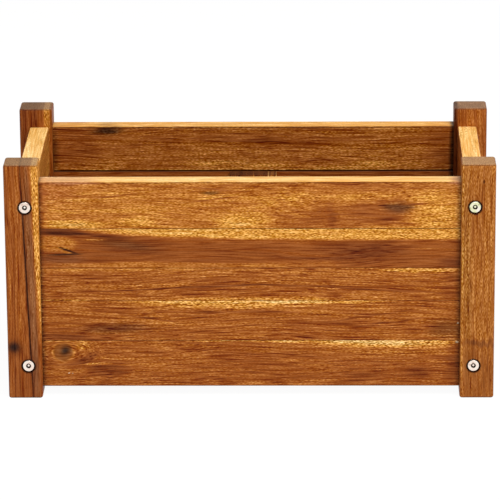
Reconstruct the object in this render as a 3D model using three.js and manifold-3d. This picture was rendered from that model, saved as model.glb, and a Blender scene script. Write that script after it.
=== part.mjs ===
// Wooden planter box on four corner posts.
//
// The long walls and the end walls are made of tongue-and-groove boards. A long wall's boards
// end in stub tenons, which sit in a stopped groove down the inner side of each post. An end
// wall's boards are cut square and are clamped between the front and back posts by connector
// bolts, which run through the posts into threaded inserts in the boards' end grain. A batten
// ties each wall's boards together inside, and slats on two ledgers make a floor that drains.
//
// Millimetres, +Z up. The origin is on the ground at the centre of the four feet, +X runs
// along the length, and the front faces -Y.

import * as THREE from 'three';
import { mergeVertices } from 'three/addons/utils/BufferGeometryUtils.js';
import loadManifold from 'manifold-3d';

const manifold = await loadManifold();
manifold.setup();

// Overall size over the posts
const LENGTH = 500;
const DEPTH = 250;
const HEIGHT = 250;

// Boards of every wall, from the top board down: how high each is next to the others
const BOARD_PROPORTIONS = [50, 42, 35, 43, 50];
const BOARD_THICKNESS = 20;
const RIM_RADIUS = 1.5; // eased edges along the top and the underside of a wall
const ARRIS_CHAMFER = 0.4; // fine chamfer where two boards meet on the outer face

// Where the walls lie in the corner posts
const LONG_WALL_SETBACK = 9; // from the posts' outer faces
const LONG_WALL_RECESS = 3; // from the posts' inner faces
const END_WALL_SETBACK = 11;
const END_WALL_RECESS = 4;
const FOOT_HEIGHT = 10; // underside of the walls above the ground
const POST_ABOVE_RIM = 20; // top of the posts above the walls
const POST_EDGE_RADIUS = 3;
const POST_END_RADIUS = 2.5;
const LARGEST_END_ROUNDING = 0.85; // share of the edge radius that the end's may be

// Tongue and groove between boards
const TONGUE_THICKNESS = 6;
const TONGUE_HEIGHT = 6;
const TONGUE_CHAMFER = 0.8;
const INNER_JOINT_GAP = 1.1; // open line between two boards on the inner face
const INNER_CHAMFER = 0.5;

// Stub tenons of the long walls and the grooves in the posts
const TENON_THICKNESS = 8;
const TENON_LENGTH = 8;
const TENON_HAUNCH = 5; // how far a groove stops short of the rim and the underside

// Connector bolts and their threaded inserts
const BOLT_RADIUS = 3;
const BOLT_HEAD_RADIUS = 6;
const BOLT_HEAD_HEIGHT = 2.4;
const BOLT_HEAD_ROUNDING = 0.7;
const BOLT_TIP_CHAMFER = 0.8;
const BOLT_PAST_INSERT = 6;
const SOCKET_ACROSS_FLATS = 4;
const SOCKET_SIDES = 6;
const SOCKET_DEPTH = 1.8;
const COUNTERBORE_RADIUS = 7.1;
const COUNTERBORE_DEPTH = 3.2;
const INSERT_RADIUS = 5;
const INSERT_LENGTH = 15;
const INSERT_BARBS = 4;
const BARB_DEPTH = 0.6;

// Battens inside the walls
const BATTEN_WIDTH = 50;
const BATTEN_THICKNESS = 15;
const BATTEN_CHAMFER = 1.5;

// Slatted floor
const LEDGER_WIDTH = 18;
const LEDGER_HEIGHT = 18;
const LEDGER_RISE = 2; // above the underside of the walls
const SLAT_WIDTH = 46;
const SLAT_THICKNESS = 10;
const SMALLEST_SLAT_GAP = 8;
const SLAT_EDGE_RADIUS = 1.5;
const FLOOR_END_CLEARANCE = 2; // between the outer slats and the posts' inner sides

// Clearances
const FIT = 0.2; // between two pieces that are seated on each other
const DEPTH_CLEARANCE = 0.5; // at the bottom of a groove or a blind bore
const BOLT_CLEARANCE = 0.3; // round a bolt's shank

// Facets
const ARC_STEPS = 2; // a quarter round has twice as many facets
const END_ROUND_STEPS = 3;
const BOLT_SIDES = 20;
const BORE_SIDES = 24;
const INSERT_SIDES = 16;
const CUT_OVERRUN = 1; // how far a cutting solid runs past the face that it opens

const wallTop = HEIGHT - POST_ABOVE_RIM;
const wallHeight = wallTop - FOOT_HEIGHT;
const proportionSum = BOARD_PROPORTIONS.reduce((sum, share) => sum + share, 0);
const boardHeights = BOARD_PROPORTIONS.map((share) => (share * wallHeight) / proportionSum);
const lastBoard = boardHeights.length - 1;
const postWidth = END_WALL_SETBACK + BOARD_THICKNESS + END_WALL_RECESS;
const postDepth = LONG_WALL_SETBACK + BOARD_THICKNESS + LONG_WALL_RECESS;
const lengthBetweenPosts = LENGTH - 2 * postWidth;
const depthBetweenPosts = DEPTH - 2 * postDepth;

const ledgerBottom = FOOT_HEIGHT + LEDGER_RISE;
const slatBottom = ledgerBottom + LEDGER_HEIGHT + FIT;
const floorTop = slatBottom + SLAT_THICKNESS;
const boltReach = postDepth - COUNTERBORE_DEPTH + INSERT_LENGTH + BOLT_PAST_INSERT;

const HEARTWOOD = 0xb0692b;
const DARK_HEARTWOOD = 0x8f5026;
const PALE_HEARTWOOD = 0xc98236;
const POST_WOOD = 0xa56230;
const INNER_WOOD = 0x9a5f2f;
const ZINC = 0xd9cdb4;
const YELLOW_ZINC = 0xc9b458;

const BOARD_COLOURS = [HEARTWOOD, DARK_HEARTWOOD, PALE_HEARTWOOD, HEARTWOOD, PALE_HEARTWOOD];

function wood(color) {
  return new THREE.MeshStandardMaterial({ color, roughness: 0.55, metalness: 0, flatShading: true });
}

function metal(color) {
  return new THREE.MeshStandardMaterial({ color, roughness: 0.3, metalness: 1, flatShading: true });
}

function piece(name, geometry, material) {
  const mesh = new THREE.Mesh(geometry, material);
  mesh.name = name;
  return mesh;
}

// A closed geometry as a solid: shared corners merged, triangles without area left out.
function toSolid(geometry) {
  const bare = geometry.clone();
  bare.deleteAttribute('normal');
  bare.deleteAttribute('uv');
  const merged = mergeVertices(bare, 1e-4);
  const corners = merged.index.array;
  const triangles = [];
  for (let i = 0; i < corners.length; i += 3) {
    const [a, b, c] = [corners[i], corners[i + 1], corners[i + 2]];
    if (a !== b && b !== c && c !== a) {
      triangles.push(a, b, c);
    }
  }
  return new manifold.Manifold(new manifold.Mesh({
    numProp: 3,
    vertProperties: new Float32Array(merged.attributes.position.array),
    triVerts: new Uint32Array(triangles),
  }));
}

function toGeometry(solid) {
  const mesh = solid.getMesh();
  const geometry = new THREE.BufferGeometry();
  geometry.setAttribute('position', new THREE.BufferAttribute(mesh.vertProperties, 3));
  geometry.setIndex(new THREE.BufferAttribute(mesh.triVerts, 1));
  return geometry;
}

function cut(geometry, cutters) {
  let solid = toSolid(geometry);
  for (const cutter of cutters) {
    solid = solid.subtract(toSolid(cutter));
  }
  return toGeometry(solid);
}

// A box between two opposite corners, given in any order.
function block([x0, y0, z0], [x1, y1, z1]) {
  const box = new THREE.BoxGeometry(Math.abs(x1 - x0), Math.abs(y1 - y0), Math.abs(z1 - z0));
  return box.translate((x0 + x1) / 2, (y0 + y1) / 2, (z0 + z1) / 2);
}

// A rectangle from (0, 0) to (width, height) with one radius at its lower corners and one at
// its upper corners.
function roundedRectangle(width, height, lowerRadius, upperRadius) {
  const quarter = Math.PI / 2;
  const shape = new THREE.Shape();
  shape.absarc(width - lowerRadius, lowerRadius, lowerRadius, -quarter, 0);
  shape.absarc(width - upperRadius, height - upperRadius, upperRadius, 0, quarter);
  shape.absarc(upperRadius, height - upperRadius, upperRadius, quarter, 2 * quarter);
  shape.absarc(lowerRadius, lowerRadius, lowerRadius, 2 * quarter, 3 * quarter);
  return shape;
}

// A shape drawn as (inward, up), carried along +X and centred on it.
function alongX(shape, length) {
  const geometry = new THREE.ExtrudeGeometry(shape, {
    depth: length,
    bevelEnabled: false,
    curveSegments: ARC_STEPS,
  });
  geometry.translate(0, 0, -length / 2);
  const turn = new THREE.Matrix4().makeBasis(
    new THREE.Vector3(0, 1, 0),
    new THREE.Vector3(0, 0, 1),
    new THREE.Vector3(1, 0, 0),
  );
  return geometry.applyMatrix4(turn);
}

// Section of a board, drawn from its outer face inwards and from its underside up. Below the
// top board each board has a tongue, and above the bottom board each has a groove for it. The
// boards meet closely on the outer face and leave an open line on the inner face.
function boardSection(index) {
  const height = boardHeights[index];
  const middle = BOARD_THICKNESS / 2;
  const quarter = Math.PI / 2;
  const shape = new THREE.Shape();

  if (index === lastBoard) {
    shape.absarc(RIM_RADIUS, RIM_RADIUS, RIM_RADIUS, 2 * quarter, 3 * quarter);
    shape.absarc(BOARD_THICKNESS - RIM_RADIUS, RIM_RADIUS, RIM_RADIUS, 3 * quarter, 4 * quarter);
  } else {
    const half = TONGUE_THICKNESS / 2 + FIT;
    const grooveTop = TONGUE_HEIGHT + DEPTH_CLEARANCE;
    shape.moveTo(0, ARRIS_CHAMFER);
    shape.lineTo(ARRIS_CHAMFER, 0);
    shape.lineTo(middle - half, 0);
    shape.lineTo(middle - half, grooveTop);
    shape.lineTo(middle + half, grooveTop);
    shape.lineTo(middle + half, INNER_JOINT_GAP);
    shape.lineTo(BOARD_THICKNESS - INNER_CHAMFER, INNER_JOINT_GAP);
    shape.lineTo(BOARD_THICKNESS, INNER_JOINT_GAP + INNER_CHAMFER);
  }

  if (index === 0) {
    const arcHeight = height - RIM_RADIUS;
    shape.absarc(BOARD_THICKNESS - RIM_RADIUS, arcHeight, RIM_RADIUS, 0, quarter);
    shape.absarc(RIM_RADIUS, arcHeight, RIM_RADIUS, quarter, 2 * quarter);
  } else {
    const half = TONGUE_THICKNESS / 2;
    const shoulder = height - FIT;
    const tongueTop = shoulder + TONGUE_HEIGHT;
    shape.lineTo(BOARD_THICKNESS, shoulder - INNER_CHAMFER);
    shape.lineTo(BOARD_THICKNESS - INNER_CHAMFER, shoulder);
    shape.lineTo(middle + half, shoulder);
    shape.lineTo(middle + half, tongueTop - TONGUE_CHAMFER);
    shape.lineTo(middle + half - TONGUE_CHAMFER, tongueTop);
    shape.lineTo(middle - half + TONGUE_CHAMFER, tongueTop);
    shape.lineTo(middle - half, tongueTop - TONGUE_CHAMFER);
    shape.lineTo(middle - half, shoulder);
    shape.lineTo(ARRIS_CHAMFER, shoulder);
    shape.lineTo(0, shoulder - ARRIS_CHAMFER);
  }
  shape.closePath();
  return shape;
}

// What is cut from both ends of a long wall's board to leave its stub tenons.
function tenonCutters(index) {
  const shoulder = lengthBetweenPosts / 2 - FIT;
  const end = shoulder + FIT + TENON_LENGTH + CUT_OVERRUN;
  const cheek = (BOARD_THICKNESS - TENON_THICKNESS) / 2;
  const low = -CUT_OVERRUN;
  const high = boardHeights[index] + TONGUE_HEIGHT + CUT_OVERRUN;
  const back = BOARD_THICKNESS + CUT_OVERRUN;
  const cutters = [];
  for (const side of [-1, 1]) {
    cutters.push(block([side * shoulder, low, low], [side * end, cheek, high]));
    cutters.push(block([side * shoulder, BOARD_THICKNESS - cheek, low], [side * end, back, high]));
    if (index === 0) {
      const haunch = boardHeights[index] - TENON_HAUNCH;
      cutters.push(block([side * shoulder, low, haunch], [side * end, back, high]));
    }
    if (index === lastBoard) {
      cutters.push(block([side * shoulder, low, low], [side * end, back, TENON_HAUNCH]));
    }
  }
  return cutters;
}

// A blind bore into each end of an end wall's board, wide for the insert and then narrow for
// the bolt's tip.
function insertBores(index, length) {
  const narrowRadius = BOLT_RADIUS + BOLT_CLEARANCE;
  const wideDepth = INSERT_LENGTH + DEPTH_CLEARANCE;
  const narrowDepth = INSERT_LENGTH + BOLT_PAST_INSERT + 2 * DEPTH_CLEARANCE;
  const cutters = [];
  for (const side of [-1, 1]) {
    for (const [radius, depth] of [[INSERT_RADIUS + FIT, wideDepth], [narrowRadius, narrowDepth]]) {
      const reach = depth + CUT_OVERRUN;
      const bore = new THREE.CylinderGeometry(radius, radius, reach, BORE_SIDES);
      bore.rotateZ(Math.PI / 2);
      bore.translate(side * (length / 2 + CUT_OVERRUN - reach / 2), BOARD_THICKNESS / 2,
        boardHeights[index] / 2);
      cutters.push(bore);
    }
  }
  return cutters;
}

// The boards and the batten of one wall. The wall's own frame has +X along the boards, +Y
// inwards from the outer face and +Z up from the ground.
function wall(name, isLong) {
  const group = new THREE.Group();
  const length = isLong
    ? lengthBetweenPosts + 2 * TENON_LENGTH
    : depthBetweenPosts - 2 * FIT;
  let bottom = wallTop;
  boardHeights.forEach((height, index) => {
    bottom -= height;
    let geometry = alongX(boardSection(index), length);
    if (isLong) {
      geometry = cut(geometry, tenonCutters(index));
    } else if (index === 0 || index === lastBoard) {
      geometry = cut(geometry, insertBores(index, length));
    }
    const board = piece(`${name}_board_${index + 1}`, geometry, wood(BOARD_COLOURS[index]));
    board.position.z = bottom;
    group.add(board);
  });
  group.add(batten(`${name}_batten`));
  return group;
}

// The upright batten at the middle of a wall's inner face. It stands just above the floor, so
// it holds the slats down, and it ends level with the joint under the top board.
function batten(name) {
  const bottom = floorTop + FIT;
  const height = wallTop - boardHeights[0] - FIT - bottom;
  const shape = new THREE.Shape();
  shape.moveTo(-BATTEN_WIDTH / 2, 0);
  shape.lineTo(BATTEN_WIDTH / 2, 0);
  shape.lineTo(BATTEN_WIDTH / 2, BATTEN_THICKNESS - BATTEN_CHAMFER);
  shape.lineTo(BATTEN_WIDTH / 2 - BATTEN_CHAMFER, BATTEN_THICKNESS);
  shape.lineTo(-BATTEN_WIDTH / 2 + BATTEN_CHAMFER, BATTEN_THICKNESS);
  shape.lineTo(-BATTEN_WIDTH / 2, BATTEN_THICKNESS - BATTEN_CHAMFER);
  shape.closePath();
  const geometry = new THREE.ExtrudeGeometry(shape, { depth: height, bevelEnabled: false });
  const mesh = piece(name, geometry, wood(INNER_WOOD));
  mesh.position.set(0, BOARD_THICKNESS + FIT, bottom);
  return mesh;
}

// Heights of the bolts: the middle of the top board and the middle of the bottom board.
const boltLevels = {
  upper: wallTop - boardHeights[0] / 2,
  lower: FOOT_HEIGHT + boardHeights[lastBoard] / 2,
};
const boltAcross = LENGTH / 2 - END_WALL_SETBACK - BOARD_THICKNESS / 2;

// A corner post, with the groove for the long wall and the two counterbored bolt holes. side
// is -1 on the left and 1 on the right, and face is -1 at the front and 1 at the back.
function post(name, side, face) {
  const shape = roundedRectangle(postWidth, postDepth, POST_EDGE_RADIUS, POST_EDGE_RADIUS);
  const endRadius = Math.min(POST_END_RADIUS, LARGEST_END_ROUNDING * POST_EDGE_RADIUS);
  const body = new THREE.ExtrudeGeometry(shape, {
    depth: HEIGHT - 2 * endRadius,
    bevelThickness: endRadius,
    bevelSize: endRadius,
    bevelOffset: -endRadius,
    bevelSegments: END_ROUND_STEPS,
    curveSegments: ARC_STEPS,
  });
  body.translate(-postWidth / 2, -postDepth / 2, endRadius);

  const grooveMiddle = face * (postDepth / 2 - LONG_WALL_SETBACK - BOARD_THICKNESS / 2);
  const grooveHalf = TENON_THICKNESS / 2 + FIT;
  const grooveReach = TENON_LENGTH + DEPTH_CLEARANCE;
  const groove = block(
    [-side * (postWidth / 2 + CUT_OVERRUN), grooveMiddle - grooveHalf,
      FOOT_HEIGHT + TENON_HAUNCH - FIT],
    [-side * (postWidth / 2 - grooveReach), grooveMiddle + grooveHalf,
      wallTop - TENON_HAUNCH + FIT],
  );

  const cutters = [groove];
  const boreAcross = side * (boltAcross - LENGTH / 2 + postWidth / 2);
  const boreRadius = BOLT_RADIUS + BOLT_CLEARANCE;
  const seatDepth = COUNTERBORE_DEPTH + CUT_OVERRUN;
  for (const level of Object.values(boltLevels)) {
    const bore = new THREE.CylinderGeometry(boreRadius, boreRadius, postDepth + 2 * CUT_OVERRUN,
      BORE_SIDES);
    bore.translate(boreAcross, 0, level);
    const seat = new THREE.CylinderGeometry(COUNTERBORE_RADIUS, COUNTERBORE_RADIUS, seatDepth,
      BORE_SIDES);
    seat.translate(boreAcross, face * (postDepth / 2 + CUT_OVERRUN - seatDepth / 2), level);
    cutters.push(bore, seat);
  }

  const mesh = piece(name, cut(body, cutters), wood(POST_WOOD));
  mesh.position.x = side * (LENGTH - postWidth) / 2;
  mesh.position.y = face * (DEPTH - postDepth) / 2;
  return mesh;
}

// A connector bolt about its own +Y axis: the head's underside is at 0 and its top above.
function boltGeometry() {
  const flatTop = BOLT_HEAD_RADIUS - BOLT_HEAD_ROUNDING;
  const profile = [
    new THREE.Vector2(0, -boltReach),
    new THREE.Vector2(BOLT_RADIUS - BOLT_TIP_CHAMFER, -boltReach),
    new THREE.Vector2(BOLT_RADIUS, -boltReach + BOLT_TIP_CHAMFER),
    new THREE.Vector2(BOLT_RADIUS, 0),
    new THREE.Vector2(BOLT_HEAD_RADIUS, 0),
  ];
  const steps = 2 * ARC_STEPS;
  for (let step = 0; step <= steps; step += 1) {
    const angle = (step / steps) * Math.PI / 2;
    profile.push(new THREE.Vector2(
      flatTop + BOLT_HEAD_ROUNDING * Math.cos(angle),
      BOLT_HEAD_HEIGHT - BOLT_HEAD_ROUNDING * (1 - Math.sin(angle)),
    ));
  }
  profile.push(new THREE.Vector2(0, BOLT_HEAD_HEIGHT));
  const body = new THREE.LatheGeometry(profile, BOLT_SIDES);

  const socketCorner = SOCKET_ACROSS_FLATS / 2 / Math.cos(Math.PI / SOCKET_SIDES);
  const reach = SOCKET_DEPTH + CUT_OVERRUN;
  const socket = new THREE.CylinderGeometry(socketCorner, socketCorner, reach, SOCKET_SIDES);
  socket.translate(0, BOLT_HEAD_HEIGHT + CUT_OVERRUN - reach / 2, 0);
  return cut(body, [socket]);
}

// A threaded insert about its own +Y axis: its mouth is at 0 and its body below, with barbs
// that grip the end grain and a bore that the bolt runs in.
function insertGeometry() {
  const bore = BOLT_RADIUS + FIT;
  const root = INSERT_RADIUS - BARB_DEPTH;
  const pitch = INSERT_LENGTH / (INSERT_BARBS + 1);
  const profile = [new THREE.Vector2(bore, -INSERT_LENGTH)];
  profile.push(new THREE.Vector2(root, -INSERT_LENGTH));
  for (let barb = INSERT_BARBS; barb >= 1; barb -= 1) {
    profile.push(new THREE.Vector2(INSERT_RADIUS, -barb * pitch));
    profile.push(new THREE.Vector2(root, -barb * pitch + pitch / 4));
  }
  profile.push(new THREE.Vector2(root, 0));
  profile.push(new THREE.Vector2(bore, 0));
  profile.push(new THREE.Vector2(bore, -INSERT_LENGTH));
  return new THREE.LatheGeometry(profile, INSERT_SIDES);
}

// A bolt and its insert at each level of one corner, with the bolt's head outwards.
function corner(name, side, face) {
  const group = new THREE.Group();
  const seat = DEPTH / 2 - COUNTERBORE_DEPTH + FIT;
  const mouth = depthBetweenPosts / 2 - 2 * FIT;
  for (const [levelName, level] of Object.entries(boltLevels)) {
    const bolt = piece(`bolt_${name}_${levelName}`, boltGeometry(), metal(ZINC));
    bolt.position.set(side * boltAcross, face * seat, level);
    const insert = piece(`insert_${name}_${levelName}`, insertGeometry(), metal(YELLOW_ZINC));
    insert.position.set(side * boltAcross, face * mouth, level);
    for (const mesh of [bolt, insert]) {
      mesh.rotation.z = face > 0 ? 0 : Math.PI;
      group.add(mesh);
    }
  }
  return group;
}

// The bearer along the foot of a long wall that the floor slats lie on.
function ledger(name, face) {
  const length = lengthBetweenPosts - 2 * FIT;
  const section = roundedRectangle(LEDGER_WIDTH, LEDGER_HEIGHT, SLAT_EDGE_RADIUS, SLAT_EDGE_RADIUS);
  const mesh = piece(name, alongX(section, length), wood(INNER_WOOD));
  const outer = DEPTH / 2 - LONG_WALL_SETBACK - BOARD_THICKNESS - FIT;
  mesh.position.set(0, face > 0 ? outer - LEDGER_WIDTH : -outer, ledgerBottom);
  return mesh;
}

// Floor slats laid across the planter, as many as fit, evenly spaced between the end posts.
function floorSlats() {
  const group = new THREE.Group();
  const run = lengthBetweenPosts - 2 * FLOOR_END_CLEARANCE;
  const count = Math.floor((run + SMALLEST_SLAT_GAP) / (SLAT_WIDTH + SMALLEST_SLAT_GAP));
  const pitch = (run - SLAT_WIDTH) / (count - 1);
  const innerDepth = DEPTH - 2 * (LONG_WALL_SETBACK + BOARD_THICKNESS);
  const slatLength = innerDepth - 2 * DEPTH_CLEARANCE;
  const section = roundedRectangle(SLAT_WIDTH, SLAT_THICKNESS, SLAT_EDGE_RADIUS, SLAT_EDGE_RADIUS);
  for (let index = 0; index < count; index += 1) {
    const geometry = alongX(section, slatLength);
    geometry.rotateZ(-Math.PI / 2);
    const slat = piece(`floor_slat_${index + 1}`, geometry, wood(INNER_WOOD));
    slat.position.set(-run / 2 + index * pitch, 0, slatBottom);
    group.add(slat);
  }
  return group;
}

const planter = new THREE.Group();
planter.name = 'wooden_planter';

const frontWall = wall('front_wall', true);
frontWall.position.y = -DEPTH / 2 + LONG_WALL_SETBACK;
const backWall = wall('back_wall', true);
backWall.position.y = DEPTH / 2 - LONG_WALL_SETBACK;
backWall.rotation.z = Math.PI;
const leftEnd = wall('left_end', false);
leftEnd.position.x = -LENGTH / 2 + END_WALL_SETBACK;
leftEnd.rotation.z = -Math.PI / 2;
const rightEnd = wall('right_end', false);
rightEnd.position.x = LENGTH / 2 - END_WALL_SETBACK;
rightEnd.rotation.z = Math.PI / 2;
planter.add(frontWall, backWall, leftEnd, rightEnd);

for (const [faceName, face] of [['front', -1], ['back', 1]]) {
  planter.add(ledger(`${faceName}_ledger`, face));
  for (const [sideName, side] of [['left', -1], ['right', 1]]) {
    planter.add(post(`post_${faceName}_${sideName}`, side, face));
    planter.add(corner(`${faceName}_${sideName}`, side, face));
  }
}
planter.add(floorSlats());

export default planter;
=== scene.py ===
# %% [markdown]
# # A wooden planter
#
# The planter is a box of oiled acacia boards on four corner posts, held together by bolts with
# flat heads. Its shape comes from the CAD model, so this lesson is mostly about wood: how a
# board gets rings, fibres, vessels, pale sapwood and knots that run through it, so that the
# pattern fits together on its faces, its edges and its end grain. The posts and the bolts are
# modelled again here with finer roundings, and the screws are added.
#
# Everything is in metres, in the frame of the CAD model: +X is the length, the front faces -Y
# and the ground is at Z = 0.

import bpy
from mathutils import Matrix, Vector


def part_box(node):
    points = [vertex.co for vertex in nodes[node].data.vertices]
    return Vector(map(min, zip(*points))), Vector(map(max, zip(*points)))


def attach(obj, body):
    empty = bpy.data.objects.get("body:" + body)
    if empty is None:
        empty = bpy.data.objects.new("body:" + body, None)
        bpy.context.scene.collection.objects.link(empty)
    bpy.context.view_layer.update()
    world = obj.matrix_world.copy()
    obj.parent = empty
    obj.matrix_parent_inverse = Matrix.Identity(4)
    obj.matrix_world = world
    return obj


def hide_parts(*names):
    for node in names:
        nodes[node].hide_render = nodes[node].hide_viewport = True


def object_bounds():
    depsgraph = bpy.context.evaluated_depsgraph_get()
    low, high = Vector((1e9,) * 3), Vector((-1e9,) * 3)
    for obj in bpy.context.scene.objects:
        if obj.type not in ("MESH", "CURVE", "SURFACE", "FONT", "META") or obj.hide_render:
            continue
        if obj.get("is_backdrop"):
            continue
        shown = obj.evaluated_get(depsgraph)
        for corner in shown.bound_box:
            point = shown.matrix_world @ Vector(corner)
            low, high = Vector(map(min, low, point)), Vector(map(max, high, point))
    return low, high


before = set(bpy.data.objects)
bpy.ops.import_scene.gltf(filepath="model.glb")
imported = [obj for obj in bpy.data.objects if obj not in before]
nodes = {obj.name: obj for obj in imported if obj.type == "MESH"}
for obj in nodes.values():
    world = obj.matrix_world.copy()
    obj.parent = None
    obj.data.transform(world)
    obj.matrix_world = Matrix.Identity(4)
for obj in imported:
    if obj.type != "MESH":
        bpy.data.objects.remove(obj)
cad_lowest, cad_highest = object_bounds()
print("CAD box", tuple(cad_lowest), tuple(cad_highest), "with", len(nodes), "nodes")

# %% Names used all through the lesson
import math
from typing import NamedTuple

import bpy
import numpy as np
from mathutils import Matrix, Vector

MM = 0.001
scene = bpy.context.scene

# %% [markdown]
# ## Colours and shader nodes
#
# Colours are written as sRGB hex values, as a paint chart or a photo editor shows them, and a
# shader wants linear light. One function turns the one into the other. A second one adds a
# shader node with its settings and its links, because a material is easier to read as a list of
# nodes in the order in which they work.

# %% Two helpers
def linear(hex_colour):
    """Linear RGBA of an sRGB hex value: a channel c is c / 12.92 up to 0.04045, and above that
    ((c + 0.055) / 1.055) to the power 2.4."""
    channels = [int(hex_colour[i:i + 2], 16) / 255 for i in (1, 3, 5)]
    return (*(c / 12.92 if c <= 0.04045 else ((c + 0.055) / 1.055) ** 2.4 for c in channels), 1.0)


def add(tree, kind, inputs=None, **settings):
    """A new node. The settings are its own properties, and inputs maps the name or the number of
    a socket to a value, or to another node's output, which is linked to it."""
    node = tree.nodes.new("ShaderNode" + kind)
    for key, value in settings.items():
        setattr(node, key, value)
    for key, value in (inputs or {}).items():
        if isinstance(value, bpy.types.NodeSocket):
            tree.links.new(value, node.inputs[key])
        else:
            node.inputs[key].default_value = value
    return node


# %% [markdown]
# ## Studio
#
# The planter stands on a pale floor under a plain white sky. Two broad lamps light it: one high
# up, which makes the top edges of the boards the brightest part, and one behind the camera. A
# picture of a real studio could light it too, but lamps are easier to place and to dim. Their
# level is chosen so that a colour on the front shows about as it is written. Both stand to the
# right, so the right post shades the end of the wall that lies behind its face.
#
# The camera, mirrors and glass see the floor and the sky as white. Other light rays meet a pale
# floor and a dimmer sky, so the background can be white without more light on the planter. The
# floor's white is mostly its own glow, and the rest is lit by the lamps, so that the planter
# still shades it.

# %% Sky, floor and lamps
SKY_LEVEL = 0.55
FLOOR_COLOUR = "#E9E7E4"
FLOOR_GLOW_SHARE = 0.92
FLOOR_GLOW = 1.03
FLOOR_SIZE = 40.0
LAMPS = {  # place and width of the square in metres, and power in watts
    "softbox_overhead": ((0.5, -1.0, 2.3), 1.8, 60),
    "softbox_front": ((1.6, -3.0, 1.9), 1.6, 14),
}


def seen_directly(tree):
    """1 for rays of the camera, of reflections and of glass, and 0 for all others."""
    path = add(tree, "LightPath")
    either = add(tree, "Math", {0: path.outputs["Is Camera Ray"], 1: path.outputs["Is Glossy Ray"]},
                 operation="MAXIMUM")
    return add(tree, "Math", {0: either.outputs[0], 1: path.outputs["Is Transmission Ray"]},
               operation="MAXIMUM").outputs[0]


def make_sky():
    """The world: white where it is seen, and SKY_LEVEL as a light."""
    world = bpy.data.worlds.new("pale_sky")
    world.use_nodes = True
    tree = world.node_tree
    tree.nodes.clear()
    level = add(tree, "MapRange", {"Value": seen_directly(tree), "To Min": SKY_LEVEL,
                                   "To Max": 1.0})
    sky = add(tree, "Background", {"Color": (1, 1, 1, 1), "Strength": level.outputs[0]})
    add(tree, "OutputWorld", {"Surface": sky.outputs[0]})
    scene.world = world


def make_floor():
    """A level sheet at Z = 0."""
    half = FLOOR_SIZE / 2
    mesh = bpy.data.meshes.new("floor")
    mesh.from_pydata([(-half, -half, 0), (half, -half, 0), (half, half, 0), (-half, half, 0)], [],
                     [(0, 1, 2, 3)])
    floor = bpy.data.objects.new("floor", mesh)
    scene.collection.objects.link(floor)
    material = bpy.data.materials.new("pale_studio_floor")
    material.use_nodes = True
    tree = material.node_tree
    tree.nodes.clear()
    matt = add(tree, "BsdfDiffuse", {"Color": linear(FLOOR_COLOUR)})
    glow = add(tree, "Emission", {"Color": (1, 1, 1, 1), "Strength": FLOOR_GLOW})
    shown = add(tree, "MixShader", {0: FLOOR_GLOW_SHARE, 1: matt.outputs[0], 2: glow.outputs[0]})
    surface = add(tree, "MixShader", {0: seen_directly(tree), 1: matt.outputs[0],
                                      2: shown.outputs[0]})
    add(tree, "OutputMaterial", {"Surface": surface.outputs[0]})
    mesh.materials.append(material)
    floor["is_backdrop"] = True


def softbox(name, place, width, power):
    """A square lamp at place, turned so that it faces the middle of the planter."""
    lamp = bpy.data.lights.new(name, "AREA")
    lamp.size = width
    lamp.energy = power
    box = bpy.data.objects.new(name, lamp)
    scene.collection.objects.link(box)
    middle = (cad_lowest + cad_highest) / 2
    box.location = place
    box.rotation_euler = (middle - Vector(place)).to_track_quat("-Z", "Y").to_euler()


make_sky()
make_floor()
for name, (place, width, power) in LAMPS.items():
    softbox(name, place, width, power)
scene.view_settings.view_transform = "Standard"

# %% [markdown]
# ## Camera
#
# The photograph was taken from almost straight in front and from above, with a long lens. The
# camera could be moved by eye until the picture fits, but its place, its angles and its lens can
# also be worked out from the edges of the posts, walls and rims, whose real sizes are known from
# the CAD model. That is what these numbers are. The camera has no shift.

# %% Camera
CAMERA_PLACE = (0.0695, -3.709, 1.2774)
CAMERA_TURN = 1.109  # degrees to the left of straight ahead
CAMERA_DIP = 17.311  # degrees below the horizon
CAMERA_ROLL = -0.411
SENSOR_WIDTH = 36.0
FRAME_PIXELS = 500
FOCAL_PIXELS = 3684.2  # focal length in pixels of that frame

camera_data = bpy.data.cameras.new("camera")
camera_data.sensor_width = SENSOR_WIDTH
camera_data.lens = FOCAL_PIXELS / FRAME_PIXELS * SENSOR_WIDTH
camera = bpy.data.objects.new("camera", camera_data)
scene.collection.objects.link(camera)
turn = (Matrix.Rotation(math.radians(CAMERA_TURN), 4, "Z")
        @ Matrix.Rotation(math.radians(90 - CAMERA_DIP), 4, "X")
        @ Matrix.Rotation(math.radians(CAMERA_ROLL), 4, "Z"))
camera.matrix_world = Matrix.Translation(CAMERA_PLACE) @ turn
scene.camera = camera
print("lens %.1f mm, %.2f m from the planter" % (camera_data.lens, -CAMERA_PLACE[1]))

# %% [markdown]
# ## Oiled acacia
#
# Acacia is a dense, golden to red-brown hardwood with dark lines, pale yellow sapwood along the
# edge of many boards, and open vessels that show as short dark lines. The boards were planed,
# sanded and oiled: the oil deepens the colour, most of all on the end grain, and leaves a satin
# surface. To the eye that means strong dark and light grain that turns from red to yellow as it
# gets paler, and a soft sheen.
#
# A picture wrapped round a board would show at its edges. Here the colour is a function of the
# place in the wood, as in a log, in the board's own frame: millimetres, with x along the grain.
# Everything is one number, the tone, from 0 for the darkest heartwood to 1 for the palest
# sapwood, and one ramp turns it into a colour. Each of the next cells adds one step to that.

# %% A board's own frame
# Its turn for grain along each axis. Along x and y the board's z is up, and along z, as in a
# post, its z is the planter's +X.
GRAIN_TURN = {
    "x": (0.0, 0.0, 0.0),
    "y": (0.0, 0.0, math.radians(90)),
    "z": (math.radians(180), math.radians(-90), 0.0),
}


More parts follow.
